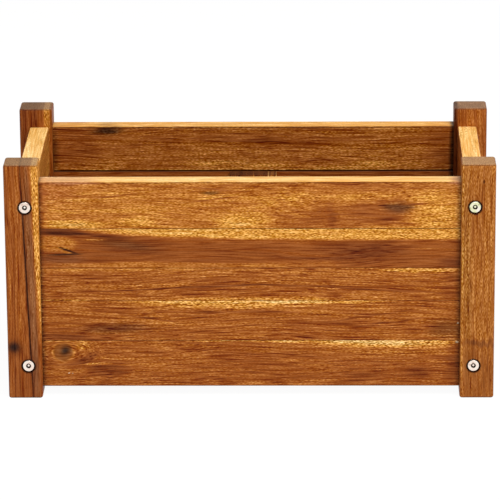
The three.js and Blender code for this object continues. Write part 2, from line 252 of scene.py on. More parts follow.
def board_frame(tree, origin, grain):
    """Object coordinates in a board's own frame, in millimetres from origin."""
    place = add(tree, "TexCoord")
    return add(tree, "Mapping", {
        "Vector": place.outputs["Object"], "Location": origin, "Rotation": GRAIN_TURN[grain],
        "Scale": (MM, MM, MM),
    }, vector_type="TEXTURE").outputs[0]


# %% [markdown]
# ### Noise along the grain
#
# Most marks in wood are long and thin, so they come from noises that are stretched along the
# grain. Such a noise can also push points about. A slow one makes the grain wander sideways by a
# few millimetres, and quicker ones make the edges of stains ragged.

# %% Stretched noise
CELL_TURN = (0.4, 0.7, 0.5)


def stretched(tree, point, size, seed, detail=2.0, roughness=0.5):
    """Noise whose cells are size[0] long and size[1] wide and deep. The cells are turned after
    the stretch, so that no face of a board lies along their own grid. Returns its node."""
    cells = add(tree, "Mapping", {
        "Vector": point, "Location": (seed * 3.7, seed * 1.3, seed * 2.9), "Rotation": CELL_TURN,
        "Scale": (1 / size[0], 1 / size[1], 1 / size[1]),
    })
    return add(tree, "TexNoise", {"Vector": cells.outputs[0], "Scale": 1.0, "Detail": detail,
                                  "Roughness": roughness})


# %% Points that a noise pushes
# Sizes of the noise in millimetres, along and across the grain, and how far it pushes
WANDER_SIZE = (190, 45)
WANDER_REACH = (0, 20)
EDGE_SIZE = (34, 5)  # for the edges of stains and streaks
EDGE_REACH = (20, 4)
CRISP_EDGE_SIZE = (7, 3)  # for cracks and knots
CRISP_EDGE_REACH = (2.0, 0.7)


def pushed(tree, point, size, seed, reach):
    """The point moved by up to about half of reach = (along, across) by a stretched noise."""
    noise = stretched(tree, point, size, seed, detail=1.0)
    centred = add(tree, "VectorMath", {0: noise.outputs["Color"], 1: (0.5, 0.5, 0.5)},
                  operation="SUBTRACT")
    shift = add(tree, "VectorMath", {0: centred.outputs[0], 1: (reach[0], reach[1], reach[1])},
                operation="MULTIPLY")
    return add(tree, "VectorMath", {0: point, 1: shift.outputs[0]}).outputs[0]


# %% [markdown]
# ### Patches and knots
#
# A patch is a soft-edged ellipse that raises or lowers the tone, for sapwood and dark streaks, or
# brings a colour of its own, for smudges and splits. A knot is a branch cut across. Three patches
# make it, and the lines of the grain bend round it.

# %% Patches
class Patch(NamedTuple):
    """A soft-edged ellipse that runs through the wood. Its place along and across the grain and
    its half length and half width are in millimetres, and turn is its slant in degrees, downward
    to the right. Tone is added to the wood's tone, and a colour covers it to the share cover. A
    crisp one, such as a crack, keeps its place and its shape, the others get ragged edges."""
    along: float
    across: float
    length: float
    width: float
    tone: float = 0.0
    soft: float = 0.5
    turn: float = 0.0
    colour: str = ""
    cover: float = 0.0
    crisp: bool = False


def inside(tree, point, patch, strength):
    """The strength inside a patch's ellipse, falling smoothly to 0 across its soft edge. The
    distance from its middle is measured in its own half sizes, and the edge goes from 1 - soft
    to 1 + soft."""
    unit = add(tree, "Mapping", {
        "Vector": point, "Location": (patch.along, 0, patch.across),
        "Rotation": (0, math.radians(patch.turn), 0), "Scale": (patch.length, 1e6, patch.width),
    }, vector_type="TEXTURE")
    distance = add(tree, "VectorMath", {0: unit.outputs[0]}, operation="LENGTH")
    return add(tree, "MapRange", {
        "Value": distance.outputs["Value"], "From Min": 1 - patch.soft, "From Max": 1 + patch.soft,
        "To Min": strength, "To Max": 0.0,
    }, interpolation_type="SMOOTHSTEP").outputs[0]


# %% Knots
KNOT_PULL = 0.8
KNOT_REACH = (5.0, 2.5)  # radii of the knot, along and across
KNOT_RING = "#7E4822"
KNOT_CORE = "#1C1412"


def bent_round(tree, point, knot):
    """The point drawn towards a knot = (along, across, radius), most of all close to it, so that
    lines that would cross the knot pass round it: p - pull * (p - knot), where pull falls
    smoothly from KNOT_PULL in its middle to 0 at KNOT_REACH."""
    along, across, radius = knot
    offset = add(tree, "VectorMath", {0: point, 1: (along, 0, across)}, operation="SUBTRACT")
    scale = (1 / (KNOT_REACH[0] * radius), 0, 1 / (KNOT_REACH[1] * radius))
    share = add(tree, "VectorMath", {0: offset.outputs[0], 1: scale}, operation="MULTIPLY")
    reach = add(tree, "VectorMath", {0: share.outputs[0]}, operation="LENGTH")
    pull = add(tree, "MapRange", {
        "Value": reach.outputs["Value"], "To Min": KNOT_PULL, "To Max": 0.0,
    }, interpolation_type="SMOOTHSTEP")
    squeeze = add(tree, "VectorMath", {0: offset.outputs[0], "Scale": pull.outputs[0]},
                  operation="SCALE")
    return add(tree, "VectorMath", {0: point, 1: squeeze.outputs[0]},
               operation="SUBTRACT").outputs[0]


def knot_patches(knot):
    """A knot as patches: a thin pale halo, a red-brown disc and a dark core off its middle, with
    sizes that are shares of its radius."""
    along, across, radius = knot
    return [
        Patch(along, across, 1.3 * radius, 1.2 * radius, tone=0.1, soft=0.15, crisp=True),
        Patch(along, across, 1.05 * radius, radius, colour=KNOT_RING, cover=0.8, soft=0.2,
              crisp=True),
        Patch(along + 0.22 * radius, across + 0.16 * radius, 0.52 * radius, 0.42 * radius,
              colour=KNOT_CORE, cover=0.9, soft=0.85, turn=-40, crisp=True),
    ]


# %% [markdown]
# ### The figure of the wood
#
# Annual rings are a noise that changes only with the distance from the pith, a line that runs
# nearly along the board some way outside it. A small slant between the two gives the long arches
# of a sawn board, and the same rings show as arcs on the end grain. Clouds and fibres are
# stretched noises. Together with the rings and the patches they make the tone.

# %% Annual rings and vessels
VESSEL_SIZE = (44, 0.7)  # real ones are 0.2 mm wide, too fine to show
VESSEL_NOISE = (0.54, 0.74)  # the part of the noise's values that is drawn


def annual_rings(tree, point, pith, slant, ring):
    """Noise of the distance from the pith, with cells as wide as a ring. The pith goes through
    (0, *pith) and is slanted by two angles in degrees."""
    log = add(tree, "Mapping", {
        "Vector": point, "Location": (0, *pith),
        "Rotation": (0, math.radians(slant[0]), math.radians(slant[1])),
    }, vector_type="TEXTURE")
    across = add(tree, "VectorMath", {0: log.outputs[0], 1: (0, 1, 1)}, operation="MULTIPLY")
    radius = add(tree, "VectorMath", {0: across.outputs[0]}, operation="LENGTH")
    return add(tree, "TexNoise", {
        "W": radius.outputs["Value"], "Scale": 1 / ring, "Detail": 4.0, "Roughness": 0.8,
    }, noise_dimensions="1D").outputs["Fac"]


def open_vessels(tree, point, seed):
    """Short dark lines, 1 in their middle and 0 outside."""
    dashes = stretched(tree, point, VESSEL_SIZE, seed, detail=0.0)
    return add(tree, "MapRange", {"Value": dashes.outputs["Fac"], "From Min": VESSEL_NOISE[0],
                                  "From Max": VESSEL_NOISE[1]}).outputs[0]


# %% Tone
CLOUD_SIZE = (100, 14)  # millimetres, along and across the grain
CLOUD_TONE = 0.22
FIBRE_SIZE = (46, 1.5)  # the broadest fibres, with a finer octave
FIBRE_TONE = 0.55


def wood_tone(tree, base, amounts, patches, points):
    """base, plus each noise less its average of 0.5 times its amount, plus the patches' tones.
    points holds the point for patches with ragged edges and the one for crisp patches."""
    tone = base
    for noise, amount in amounts:
        tone = add(tree, "Math", {0: noise, 1: amount, 2: tone},
                   operation="MULTIPLY_ADD").outputs[0]
    average = sum(amount for _, amount in amounts) / 2
    tone = add(tree, "Math", {0: tone, 1: average}, operation="SUBTRACT").outputs[0]
    for patch in patches:
        if patch.tone:
            mask = inside(tree, points[patch.crisp], patch, patch.tone)
            tone = add(tree, "Math", {0: tone, 1: mask}).outputs[0]
    return tone


# %% Colour of a tone
ACACIA_TONES = {0.0: "#3A1808", 0.25: "#763B17", 0.45: "#9A5622", 0.6: "#B97530", 0.75: "#D89A42",
                1.0: "#F6D290"}


def tone_colour(tree, tone, patches, points):
    """The ramp's colour for a tone, under the patches that bring a colour of their own."""
    ramp = add(tree, "ValToRGB", {"Fac": tone})
    stops = ramp.color_ramp.elements
    stops.remove(stops[1])
    for position, shade in ACACIA_TONES.items():
        stop = stops[0] if position == 0 else stops.new(position)
        stop.color = linear(shade)
    colour = ramp.outputs[0]
    for patch in patches:
        if patch.colour:
            mask = inside(tree, points[patch.crisp], patch, patch.cover)
            colour = add(tree, "Mix", {0: mask, 6: colour, 7: linear(patch.colour)},
                         data_type="RGBA").outputs[2]
    return colour


# %% [markdown]
# ### Fine lines
#
# Fine fibres, flecks, vessels and late-wood lines don't change the hue as the tone does. They glint
# and shade, so they lift or lower the red, green and blue of the finished colour by one and the
# same step on the display's scale, which is the linear value to the power 1 / 2.2. Flecks are
# strongest in pale wood and weaker on the top edges, where a painted top light washes them out, and
# in a knot all lines are faint.

# %% Flecks
FLECK_SIZE = (2.8, 0.65)  # coarse enough to show, real ones are half as wide
FLECK_NOISE = (0.28, 0.72)  # the part of the noise's values that is drawn
FLECK_STEP = (-0.18, 0.13)  # the darkest and the palest, on the display's scale
FLECKED_TONES = (0.42, 0.72)  # from heartwood with faint flecks to sapwood with strong ones
FLECK_SHARES = (0.12, 1.5)


def fleck_step(tree, board, seed):
    """The step of each fleck, dark or pale."""
    flecks = stretched(tree, board, FLECK_SIZE, seed, detail=0.0)
    return add(tree, "MapRange", {
        "Value": flecks.outputs["Fac"], "From Min": FLECK_NOISE[0], "From Max": FLECK_NOISE[1],
        "To Min": FLECK_STEP[0], "To Max": FLECK_STEP[1],
    }).outputs[0]


def fleck_share(tree, tone, specks):
    """How strongly the flecks show in wood of this tone."""
    return add(tree, "MapRange", {
        "Value": tone, "From Min": FLECKED_TONES[0], "From Max": FLECKED_TONES[1],
        "To Min": FLECK_SHARES[0] * specks, "To Max": FLECK_SHARES[1] * specks,
    }).outputs[0]


# %% Fibres, vessels and late wood
# Steps on the display's scale
FIBRE_STEP = 0.24
VESSEL_STEP = -0.2
LATE_WOOD_STEP = -0.1
LATE_WOOD_NOISE = (0.54, 0.66)  # the part of the rings' noise that is drawn
KNOT_CALM = 0.75  # the share by which all fine lines are weaker in a knot


def fine_step(tree, speck, fibres, vessels, annual, lines, knots, point):
    """The sum of all fine lines' steps: the flecks' own, FIBRE_STEP * (fibres - 0.5), and a
    share of a step in vessels and late wood. It is weaker inside knots."""
    step = add(tree, "Math", {0: fibres, 1: FIBRE_STEP * lines, 2: -FIBRE_STEP * lines / 2},
               operation="MULTIPLY_ADD").outputs[0]
    step = add(tree, "Math", {0: step, 1: speck}).outputs[0]
    late = add(tree, "MapRange", {"Value": annual, "From Min": LATE_WOOD_NOISE[0],
                                  "From Max": LATE_WOOD_NOISE[1]}).outputs[0]
    for dark, amount in ((vessels, VESSEL_STEP), (late, LATE_WOOD_STEP)):
        step = add(tree, "Math", {0: dark, 1: amount * lines, 2: step},
                   operation="MULTIPLY_ADD").outputs[0]
    for along, across, radius in knots:
        branch = Patch(along, across, 1.1 * radius, radius, soft=0.3)
        plain = inside(tree, point, branch, -KNOT_CALM)
        step = add(tree, "Math", {0: step, 1: plain, 2: step},
                   operation="MULTIPLY_ADD").outputs[0]
    return step


# %% A step on the display's scale
DISPLAY_GAMMA = 2.2
DARKEST_SHOWN = (0.05, 0.03, 0.02)


def stepped(tree, colour, step):
    """The linear colour with step added to its values on the display's scale."""
    shown = add(tree, "Gamma", {"Color": colour, "Gamma": 1 / DISPLAY_GAMMA})
    shown = add(tree, "VectorMath", {0: shown.outputs[0], 1: step})
    shown = add(tree, "VectorMath", {0: shown.outputs[0], 1: DARKEST_SHOWN},
                operation="MAXIMUM")
    return add(tree, "Gamma", {"Color": shown.outputs[0], "Gamma": DISPLAY_GAMMA}).outputs[0]


# %% [markdown]
# ### Joints and ends
#
# A joint between two boards shows as a fine dark line, because the chamfers along their edges
# hold shade, oil and dust. So faces that slope up or down get dark, and on a board with a planed
# top only those that slope down. The sawn ends are covered with a duller, mottled colour, and
# their roundings are dark with oil.

# %% Dark joints
# The dark of the joints, also used for painted shade where walls meet posts and in corners
JOINT_AND_SHADE_COLOUR = "#1E0E06"
CHAMFER_LEAN = (0.3, 0.6)  # how far the normal leans up or down


def dark_joints(tree, colour, up, joints, pale_top_and_painted_light):
    """The colour with chamfers darkened to the share joints."""
    sloping = add(tree, "Math", {0: up, 1: -1.0}, operation="MULTIPLY") if pale_top_and_painted_light else (
        add(tree, "Math", {0: up}, operation="ABSOLUTE"))
    dark = add(tree, "MapRange", {
        "Value": sloping.outputs[0], "From Min": CHAMFER_LEAN[0], "From Max": CHAMFER_LEAN[1],
        "To Max": joints,
    })
    return add(tree, "Mix", {0: dark.outputs[0], 6: colour, 7: linear(JOINT_AND_SHADE_COLOUR)},
               data_type="RGBA").outputs[2]


# %% End grain
GRAIN_AXIS = {"x": (1.0, 0.0, 0.0), "y": (0.0, 1.0, 0.0), "z": (0.0, 0.0, 1.0)}
END_GRAIN = ("#4E3A2A", "#B4946C")  # darkest and palest
END_LEAN = (0.75, 0.95)  # how far the normal leans along the grain
END_COVER = 0.8
END_MOTTLE = 2.2
EASED_LEAN = (0.6, 0.35)  # middle and half width of the leans on a rounded end
EASED_SHADE = 0.6


def sawn_ends(tree, colour, normal, grain, tone, fleck, end_grain):
    """The colour with its sawn ends covered and their roundings darkened, and a mask of 1 on
    the ends. How far a face looks along the grain is the normal's part in that direction."""
    along = add(tree, "VectorMath", {0: normal, 1: GRAIN_AXIS[grain]}, operation="DOT_PRODUCT")
    facing = add(tree, "Math", {0: along.outputs["Value"]}, operation="ABSOLUTE")
    end = add(tree, "MapRange", {"Value": facing.outputs[0], "From Min": END_LEAN[0],
                                 "From Max": END_LEAN[1]})
    mottle = add(tree, "Math", {0: fleck, 1: END_MOTTLE, 2: tone}, operation="MULTIPLY_ADD")
    end_shade = add(tree, "Mix", {0: mottle.outputs[0], 6: linear(end_grain[0]),
                                  7: linear(end_grain[1])}, data_type="RGBA")
    covered = add(tree, "Math", {0: end.outputs[0], 1: END_COVER}, operation="MULTIPLY")
    colour = add(tree, "Mix", {0: covered.outputs[0], 6: colour, 7: end_shade.outputs[2]},
                 data_type="RGBA").outputs[2]
    from_edge = add(tree, "Math", {0: facing.outputs[0], 1: EASED_LEAN[0]}, operation="SUBTRACT")
    from_edge = add(tree, "Math", {0: from_edge.outputs[0]}, operation="ABSOLUTE")
    eased = add(tree, "MapRange", {"Value": from_edge.outputs[0], "From Max": EASED_LEAN[1],
                                   "To Min": EASED_SHADE, "To Max": 0.0})
    colour = add(tree, "Mix", {0: eased.outputs[0], 6: colour, 7: linear(JOINT_AND_SHADE_COLOUR)},
                 data_type="RGBA").outputs[2]
    return colour, end.outputs[0]


# %% [markdown]
# ### The finished wood
#
# The surface is satin on the faces, where the pale fibres are the smoothest, and dull on the sawn
# ends. A fine relief follows the fibres, and the vessels lie a little deeper. Oiled wood has an
# IOR of 1.5, and because the oil has soaked in, its mirror-like share is small.

# %% The wood's surface
WOOD_IOR = 1.5
WOOD_SPECULAR = 0.08
SATIN = (0.52, 0.4)  # roughness from dark to pale fibres
SATIN_NOISE = (0.3, 0.7)
END_ROUGHNESS = 0.75
RELIEF_DEPTH = 0.12 * MM
RELIEF_STRENGTH = 0.5


def wood_surface(tree, colour, fibres, vessels, end):
    """The finished shader, with roughness and relief from the fibres and the vessels."""
    satin = add(tree, "MapRange", {
        "Value": fibres, "From Min": SATIN_NOISE[0], "From Max": SATIN_NOISE[1],
        "To Min": SATIN[0], "To Max": SATIN[1],
    })
    roughness = add(tree, "Mix", {0: end, 2: satin.outputs[0], 3: END_ROUGHNESS},
                    data_type="FLOAT")
    height = add(tree, "Math", {0: fibres, 1: vessels}, operation="SUBTRACT")
    relief = add(tree, "Bump", {"Height": height.outputs[0], "Distance": RELIEF_DEPTH,
                                "Strength": RELIEF_STRENGTH})
    wood = add(tree, "BsdfPrincipled", {
        "Base Color": colour, "Roughness": roughness.outputs[0], "Normal": relief.outputs[0],
        "IOR": WOOD_IOR, "Specular IOR Level": WOOD_SPECULAR,
    })
    add(tree, "OutputMaterial", {"Surface": wood.outputs[0]})


# %% The wood's material
# How far the normal must lean up for the painted top light to come in, and how much that light
# washes out the flecks
UPWARD = (0.5, 0.9)  # how far the normal of a planed top leans up
TOP_LIGHT_CALM = 0.4  # how much weaker the flecks are there


def oiled_acacia(name, origin, grain, seed, base=0.5, pith=(40.0, -70.0), slant=(0.6, 0.4),
                 ring=5.0, rings=0.2, lines=0.6, specks=1.0, patches=(), knots=(),
                 pale_top_and_painted_light=0.0, joints=0.0, end_grain=END_GRAIN):
    """A material for one board or post. origin is the place in metres from which its patches, its
    knots (along, across, radius) and its pith are measured, grain the axis along which it runs, and
    seed picks its noises. base is its general tone, pith the log's heart in millimetres (depth,
    across), slant the angles between pith and board in degrees, ring the width of a ring in
    millimetres. rings, lines and specks say how strong the rings, the fibres and the flecks are,
    pale_top_and_painted_light how much paler the upward faces are, partly as paler planed wood and
    partly as a painted top light, and joints how dark the chamfers are."""
    material = bpy.data.materials.new(name)
    material.use_nodes = True
    tree = material.node_tree
    tree.nodes.clear()
    normal = add(tree, "NewGeometry").outputs["Normal"]
    up = add(tree, "SeparateXYZ", {0: normal}).outputs["Z"]

    board = board_frame(tree, origin, grain)
    crisp = pushed(tree, board, CRISP_EDGE_SIZE, seed + 6, CRISP_EDGE_REACH)
    for knot in knots:
        board = bent_round(tree, board, knot)
    wandering = pushed(tree, board, WANDER_SIZE, seed, WANDER_REACH)
    points = (pushed(tree, board, EDGE_SIZE, seed + 3, EDGE_REACH), crisp)
    spots = [*patches, *(patch for knot in knots for patch in knot_patches(knot))]

    annual = annual_rings(tree, wandering, pith, slant, ring)
    clouds = stretched(tree, wandering, CLOUD_SIZE, seed + 1).outputs["Fac"]
    fibres = stretched(tree, wandering, FIBRE_SIZE, seed + 2, detail=1.0,
                       roughness=0.8).outputs["Fac"]
    vessels = open_vessels(tree, wandering, seed + 5)
    fleck = fleck_step(tree, board, seed + 4)

    amounts = [(annual, rings), (clouds, CLOUD_TONE), (fibres, FIBRE_TONE * lines)]
    tone = wood_tone(tree, base, amounts, spots, points)
    share = fleck_share(tree, tone, specks)
    # Upward faces get a paler tone and fainter flecks: partly paler planed wood, partly a painted
    # top light
    if pale_top_and_painted_light:
        top_light = add(tree, "MapRange", {"Value": up, "From Min": UPWARD[0],
                                        "From Max": UPWARD[1]}).outputs[0]
        tone = add(tree, "Math", {0: top_light, 1: pale_top_and_painted_light, 2: tone},
                   operation="MULTIPLY_ADD").outputs[0]
        share = add(tree, "Math", {0: top_light, 1: -TOP_LIGHT_CALM, 2: share},
                    operation="MULTIPLY_ADD").outputs[0]

    colour = tone_colour(tree, tone, spots, points)
    speck = add(tree, "Math", {0: fleck, 1: share}, operation="MULTIPLY").outputs[0]
    step = fine_step(tree, speck, fibres, vessels, annual, lines, knots, crisp)
    colour = stepped(tree, colour, step)
    if joints:
        colour = dark_joints(tree, colour, up, joints, pale_top_and_painted_light)
    colour, end = sawn_ends(tree, colour, normal, grain, tone, fleck, end_grain)
    wood_surface(tree, colour, fibres, vessels, end)
    return material


# %% [markdown]
# ### Giving a piece its material
#
# A CAD piece keeps its mesh and its place, and only its material is new. Patches are measured
# from a point that is known, often the middle of a piece, which a helper reads from the frame.

# %% Two more helpers
def dress(piece, material):
    """Gives an object this material in its only slot."""
    piece.data.materials.clear()
    piece.data.materials.append(material)


def middle_of(name):
    """The middle of a CAD node's box, in metres."""
    lowest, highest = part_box(name)
    return tuple((lowest + highest) / 2)


# %% [markdown]
# ## Front wall
#
# Five boards of different logs make the wall, so each has its own tone, and the joints show as
# changes of colour more than as lines. The second board is the darkest and has a band of yellow
# sapwood along its top edge. Patches give each board what makes it that board: a dark smudge, a
# bright streak along a joint, a small split, a knot near the lower left corner. They could be
# painted on, but a patch runs through the wood and shows on a board's edges too. Their places
# were worked out from the photograph with the camera above, and are millimetres from the
# planter's middle and from the ground.

# %% Colours and the list of looks
DARK = "#2A1208"
CHIP = "#F2DDBE"  # bare wood where a splinter came off
front_wall = {}

# %% Board 1: golden, with a dark smudge near the right end
front_wall[1] = dict(base=0.6, pale_top_and_painted_light=0.3, lines=0.7, specks=0.8, joints=0.85, pith=(20, 217),
                     slant=(0.3, -3.5), ring=4, patches=[
    Patch(151, 202, 13, 5, colour="#4A3020", cover=0.72, soft=0.8),
    Patch(132, 199, 30, 11, tone=-0.13, soft=0.6),
    Patch(171, 206.5, 9, 1.5, tone=-0.25),
    Patch(148, 190, 14, 7, tone=-0.1, soft=0.7),
    Patch(88, 193, 50, 13, tone=-0.13, soft=0.6),
    Patch(83, 193, 4, 14, tone=-0.1, soft=0.7),
    Patch(188, 198, 26, 19, tone=0.12, soft=0.6),
    Patch(-5, 188, 26, 9, tone=0.15, soft=0.7),
    Patch(-113, 188, 18, 5, tone=0.13, soft=0.7),
    Patch(-183, 184.5, 30, 4.5, tone=0.18),
    Patch(-57, 191, 40, 9, tone=-0.05, soft=0.7),
    # a dark line below the rim's rounded top edge: painted shade, with some oil in the rounding
    Patch(0, 228.9, 300, 0.7, colour=DARK, cover=0.4, soft=0.4, crisp=True),
    Patch(100, 225, 115, 6, tone=-0.1, soft=0.6),
    Patch(-41, 217.5, 9, 1.5, colour="#4E3418", cover=0.6),
    Patch(-35, 211.5, 27, 0.7, tone=-0.16, turn=-7, crisp=True),
    Patch(-35, 213.4, 24, 0.8, tone=0.1, turn=-7, crisp=True),
    Patch(-36, 222, 26, 0.8, tone=-0.14, turn=5, crisp=True),
    Patch(-140, 214.5, 24, 0.7, tone=-0.16, turn=-7, crisp=True),
    Patch(-170, 211, 42, 0.7, tone=0.1, turn=-3, crisp=True),
    # painted shade at the wall's left end, beside the post
    Patch(-213, 205, 5, 30, tone=-0.12, soft=0.7),
    Patch(-200, 217, 24, 9, colour="#B0683A", cover=0.45, soft=0.6),
    # the rim's ends are duller and pinker: painted shade where the posts hold off the light from
    # above
    Patch(-190, 232, 32, 5, colour="#B5795A", cover=0.5),
    Patch(212, 232, 7, 5, colour="#B5795A", cover=0.6),
])

# %% Board 2: the darkest, with a band of yellow sapwood and a split
front_wall[2] = dict(base=0.388, lines=0.58, specks=0.85, joints=0.15, pith=(60, 100), patches=[
    Patch(120, 180, 290, 12, tone=0.34, soft=0.15),
    Patch(-192, 176.5, 24, 3.6, tone=-0.3, soft=0.4, turn=2, crisp=True),
    Patch(-150, 173, 25, 2, tone=-0.16, turn=4, crisp=True),
    Patch(-199, 164, 22, 8.5, tone=0.19, soft=0.3, crisp=True),
    Patch(-158, 168, 12, 1.6, tone=0.2),
    Patch(-186, 157, 10, 1.1, colour=DARK, cover=0.9, soft=0.6, turn=20, crisp=True),
    Patch(-190, 152.8, 17, 1.0, colour=DARK, cover=0.9, soft=0.6, turn=-2, crisp=True),
    Patch(-187, 155, 5, 0.9, tone=0.25, turn=8, crisp=True),
    Patch(-192, 148, 24, 5, colour="#6A4430", cover=0.35, soft=0.5),
    Patch(-126, 163, 30, 4.5, colour="#3C2214", cover=0.45, soft=0.8, turn=8),
    Patch(-122, 159, 38, 9, tone=-0.07, soft=0.8, turn=6),
    Patch(120, 155, 40, 12, tone=-0.12, soft=0.7),
    Patch(190, 160, 25, 8, tone=0.06, soft=0.6),
    Patch(206, 144, 14, 5, tone=-0.12, soft=0.6),
    Patch(61, 148.6, 30, 2, tone=-0.1, soft=0.7),
    Patch(-60, 141, 150, 3.5, tone=0.16, soft=0.6),
])

# %% Board 3: plain, with a few slanting dark lines
front_wall[3] = dict(base=0.487, lines=0.85, joints=0.05, pith=(50, 30), slant=(0.5, 0.2), patches=[
    Patch(-120, 137, 80, 2.2, tone=0.12),
    Patch(176, 135.5, 38, 2.6, tone=0.22),
    Patch(-80, 116.5, 95, 1.0, tone=-0.2, soft=0.7, turn=-2.3),
    Patch(40, 119, 90, 0.9, tone=-0.15, soft=0.7, turn=1),
    Patch(120, 115, 60, 1.0, tone=-0.14, soft=0.7, turn=3),
    Patch(-10, 104.5, 110, 1.8, tone=0.16, soft=0.7),
    Patch(-190, 104, 24, 0.8, tone=0.25),
    # painted shade at the wall's right end, beside the post
    Patch(207, 118, 10, 18, tone=-0.08, soft=0.7),
])

# %% Board 4: a bright streak along its top edge
front_wall[4] = dict(base=0.495, lines=0.8, joints=0.05, pith=(60, 20), patches=[
    Patch(-15, 101, 82, 7.5, tone=0.18, soft=0.4),
    Patch(-50, 101.5, 115, 1.8, tone=0.12, soft=0.6),
    Patch(80, 101.5, 60, 1.6, tone=0.17, soft=0.6),
    Patch(-10, 91, 60, 1.2, tone=-0.12),
    Patch(-140, 73, 30, 5.0, colour="#4E2C1C", cover=0.5, soft=0.8),
    Patch(-175, 63, 40, 3, tone=-0.12, soft=0.6),
    Patch(-192, 66, 26, 6, tone=-0.08, soft=0.6),
    Patch(200, 72, 16, 9, colour="#6B4524", cover=0.45, soft=0.6),
    Patch(120, 86, 40, 0.9, tone=-0.14, turn=-9),
    Patch(150, 80, 36, 0.8, tone=-0.14, turn=-8),
    Patch(-100, 84, 35, 0.8, tone=-0.14, turn=8),
    Patch(213, 78.4, 0.9, 0.9, colour=CHIP, cover=0.8, crisp=True),
])

# %% Board 5: a knot near the left end and a bright streak
front_wall[5] = dict(base=0.46, lines=0.75, specks=1.1, joints=0.3, pith=(40, 110),
                     knots=[(-193.5, 47.3, 9.6)], patches=[
    Patch(-188, 57.5, 24, 3.5, tone=0.17),
    Patch(-173, 54, 7, 4, tone=0.15, crisp=True),
    Patch(-176, 41, 16, 4, tone=-0.14, turn=-15),
    Patch(-148, 28.5, 21, 7, tone=-0.16, soft=0.5),
    Patch(-150, 34.5, 24, 0.9, tone=0.2, turn=2),
    Patch(140, 60, 84, 6.5, tone=0.35, soft=0.6),
    Patch(145, 50, 70, 8, tone=0.07, soft=0.8),
    Patch(15, 59.5, 40, 1.5, tone=0.25),
    Patch(-45, 59.5, 30, 1.2, tone=0.2),
    Patch(110, 20, 22, 6, tone=-0.1, soft=0.7),
    Patch(172, 26, 12, 6, tone=-0.1, soft=0.7),
    # painted shade at the wall's right end, beside the post
    Patch(210, 35, 7, 26, tone=-0.1, soft=0.7),
    Patch(212.2, 57.9, 1.6, 1.1, colour=CHIP, cover=0.8, crisp=True),
    Patch(-188, 24.5, 0.8, 0.7, colour=CHIP, cover=0.5, crisp=True),
    Patch(-184, 24.2, 0.7, 0.7, colour=CHIP, cover=0.35, crisp=True),
])

# %% All the boards of the front wall
# Painted shade at both ends of every board, where the posts stand proud of the wall and shade it
painted_shade_at_wall_ends = [  # shade and oil where the wall meets the posts
    Patch(-217.5, 120, 4.5, 300, colour=JOINT_AND_SHADE_COLOUR, cover=0.8, soft=0.9, crisp=True),
    Patch(219, 120, 6, 300, colour=JOINT_AND_SHADE_COLOUR, cover=0.75, soft=0.9, crisp=True),
]
for number, look in front_wall.items():
    node = f"front_wall_board_{number}"
    origin = (0, middle_of(node)[1], 0)
    look["patches"] += painted_shade_at_wall_ends
    dress(nodes[node], oiled_acacia(f"oiled_acacia_{node}", origin, "x", number, **look))
print("front wall boards finished:", len(front_wall))

# %% [markdown]
# ## Other boards
#
# The back wall and the end walls are sawn from the same kinds of logs. Only the two top boards of
# the back wall show in the photograph: the upper one has a dark smudge near the left end and dark
# streaks in the middle, and the one below it is darker. Their right ends, and the upper one's left
# end, get painted shade where the posts and the end walls shade them, and the upper one has a
# painted dark line of shade under its rim. Of the end walls the planed tops show, which are pale
# wood made paler by a painted top light, and the inside of the right one is darker than that of the
# left. The others take their tones in turn. The top end of the back wall's batten shows too, just
# above the front rim: it is dark with a few pale streaks, which run down its face as well.

# %% Back wall and end walls
TONES_IN_TURN = [0.5, 0.4, 0.47, 0.36, 0.54]
OPEN_JOINT = 0.6  # how dark the joints are that the photograph doesn't show from the front
# Painted shade in the back wall's right corner, where the right post and the end wall shade it
painted_corner_shade = Patch(219, 190, 8.3, 80, colour=JOINT_AND_SHADE_COLOUR, cover=0.9, soft=0.28, crisp=True)
back_wall = {
    1: dict(base=0.54, pale_top_and_painted_light=0.25, lines=0.8, pith=(-40, 150), patches=[
        # a dark line below the rim's rounded top edge: painted shade
        Patch(0, 228.9, 300, 0.7, colour=DARK, cover=0.6, soft=0.4, crisp=True),
        Patch(-156, 225, 15, 4.2, colour="#1C120E", cover=0.85, soft=0.7),
        Patch(-150, 212, 75, 14, tone=-0.07, soft=0.8),
        Patch(-195, 205, 22, 30, tone=-0.07, soft=0.8),
        Patch(5, 216, 55, 8, tone=-0.1, soft=0.8),
        Patch(13, 212.5, 60, 1.2, tone=-0.14, soft=0.7, turn=2),
        Patch(70, 190, 32, 4, tone=-0.12, soft=0.7),
        Patch(70, 187, 130, 4, tone=0.12, soft=0.6),
        Patch(-20, 181.5, 200, 1.2, tone=0.12),
        # painted shade at both ends of the board, beside the posts
        Patch(205, 205, 18, 30, tone=-0.12, soft=0.8),
        Patch(-215, 200, 5, 26, colour=JOINT_AND_SHADE_COLOUR, cover=0.6, soft=0.9, crisp=True),
        painted_corner_shade,
    ]),
    2: dict(base=0.41, pith=(-40, 100), patches=[painted_corner_shade]),
}
end_tops = {"left_end": dict(base=0.66, pale_top_and_painted_light=0.22, specks=0.7),
            "right_end": dict(base=0.46, pale_top_and_painted_light=0.38, specks=2.4)}
seed = 10
for wall, grain in (("back_wall", "x"), ("left_end", "y"), ("right_end", "y")):
    for number in range(1, 6):
        seed += 1
        node = f"{wall}_board_{number}"
        look = dict(base=TONES_IN_TURN[seed % len(TONES_IN_TURN)])
        origin = middle_of(node)
        if wall == "back_wall" and number in back_wall:
            look = back_wall[number]
            origin = (0, origin[1], 0)
        elif number == 1:
            look = end_tops[wall]
        dress(nodes[node], oiled_acacia(f"oiled_acacia_{node}", origin, grain, seed,
                                        joints=OPEN_JOINT, **look))
print("last seed used for a wall board:", seed)

